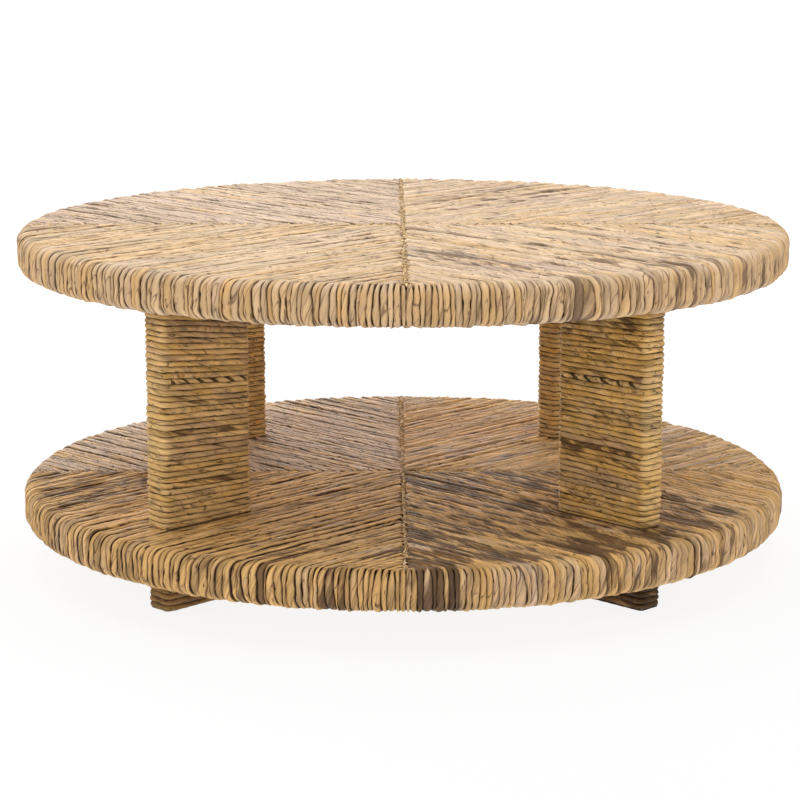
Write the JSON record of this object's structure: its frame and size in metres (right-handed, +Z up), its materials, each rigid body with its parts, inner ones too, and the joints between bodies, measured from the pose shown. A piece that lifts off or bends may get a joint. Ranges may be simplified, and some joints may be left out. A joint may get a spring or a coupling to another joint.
{
  "type": "round coffee table",
  "caption": "Low round two-tier table: rope-wrapped top and shelf discs joined by wrapped plank legs on the diagonals, with short wrapped feet beneath.",
  "frame": {"origin": "on the floor, under the middle of the table", "axes": "+Z up from the floor; -Y is the front; the legs stand on the diagonals between X and Y"},
  "size_m": [1, 1, 0.436],
  "materials": {
    "top_rope": "matte",
    "shelf_rope": "matte",
    "leg_rope": "matte",
    "foot_rope": "matte",
    "seam_cord": "matte",
    "core_board": "matte",
    "leg_wood": "matte",
    "dowel_wood": "matte",
    "bolt_steel": "satin",
    "washer_steel": "satin",
    "nut_steel": "satin",
    "glide_plastic": "matte"
  },
  "bodies": {
    "root": {"foot_block_back_left": "leg_wood", "foot_block_back_right": "leg_wood", "foot_block_front_left": "leg_wood", "foot_block_front_right": "leg_wood", "foot_bolt_washers": "washer_steel", "foot_bolts": "bolt_steel", "foot_dowels": "dowel_wood", "foot_glides": "glide_plastic", "foot_wrap_back_left": "foot_rope", "foot_wrap_back_right": "foot_rope", "foot_wrap_front_left": "foot_rope", "foot_wrap_front_right": "foot_rope", "leg_post_back_left": "leg_wood", "leg_post_back_right": "leg_wood", "leg_post_front_left": "leg_wood", "leg_post_front_right": "leg_wood", "leg_wrap_back_left": "leg_rope", "leg_wrap_back_right": "leg_rope", "leg_wrap_front_left": "leg_rope", "leg_wrap_front_right": "leg_rope", "lower_barrel_nuts": "nut_steel", "shelf_board_lower": "core_board", "shelf_board_upper": "core_board", "shelf_dowels": "dowel_wood", "shelf_seam_cord": "seam_cord", "shelf_under_seam_cord": "seam_cord", "shelf_wrap_back_left": "shelf_rope", "shelf_wrap_back_right": "shelf_rope", "shelf_wrap_front_left": "shelf_rope", "shelf_wrap_front_right": "shelf_rope", "top_board_lower": "core_board", "top_board_upper": "core_board", "top_bolts": "bolt_steel", "top_dowels": "dowel_wood", "top_seam_cord": "seam_cord", "top_under_seam_cord": "seam_cord", "top_wrap_back_left": "top_rope", "top_wrap_back_right": "top_rope", "top_wrap_front_left": "top_rope", "top_wrap_front_right": "top_rope", "upper_barrel_nuts": "nut_steel"}
  },
  "joints": []
}
